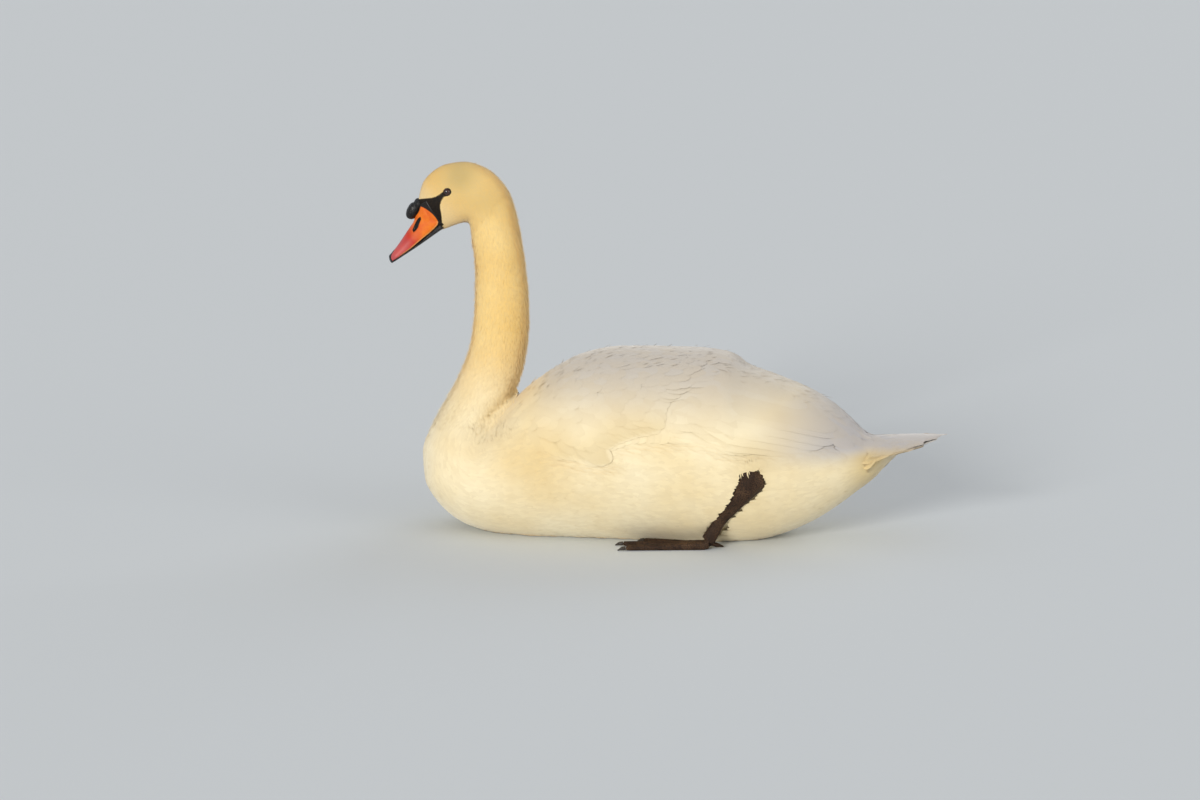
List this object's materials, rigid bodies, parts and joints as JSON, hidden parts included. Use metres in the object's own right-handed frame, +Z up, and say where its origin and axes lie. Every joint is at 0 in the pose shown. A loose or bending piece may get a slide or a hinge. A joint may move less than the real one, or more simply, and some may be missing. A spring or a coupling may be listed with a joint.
{
  "type": "mute swan",
  "caption": "Life-size mute swan resting on its belly, neck raised, bill pointing down, wings folded and feet tucked under; a still museum model.",
  "frame": {"origin": "on the ground, under the middle of the swan's bounding box", "axes": "-X the way the swan faces, -Y its left side, +Z up"},
  "size_m": [0.8776, 0.298, 0.5785],
  "materials": {
    "neck_plumage": "matt, soft, short feathers stained buff",
    "body_plumage": "matt, white feathers",
    "bill_orange": "satin horn, orange at the base and pink to the tip",
    "bill_black": "satin black horn and bare skin",
    "eye": "wet and glossy, dark brown",
    "foot_skin": "scaly, brownish black",
    "claw": "satin black horn"
  },
  "bodies": {
    "root": {"head": "neck_plumage", "neck_upper": "neck_plumage", "neck_middle": "neck_plumage", "neck_lower": "neck_plumage", "breast": "body_plumage", "trunk": "body_plumage", "rump": "body_plumage", "wing_left_scapulars": "body_plumage", "wing_right_scapulars": "body_plumage", "wing_left_secondaries": "body_plumage", "wing_right_secondaries": "body_plumage", "wing_left_primaries": "body_plumage", "wing_right_primaries": "body_plumage", "tail": "body_plumage", "bill_upper": "bill_orange", "bill_nail": "bill_black", "bill_lower": "bill_black", "bill_knob": "bill_black", "eye_left": "eye", "eye_right": "eye", "leg_left": "foot_skin", "leg_right": "foot_skin", "foot_left": "foot_skin", "foot_right": "foot_skin", "claw_left_outer": "claw", "claw_left_middle": "claw", "claw_left_inner": "claw", "claw_right_outer": "claw", "claw_right_middle": "claw", "claw_right_inner": "claw"}
  },
  "joints": []
}
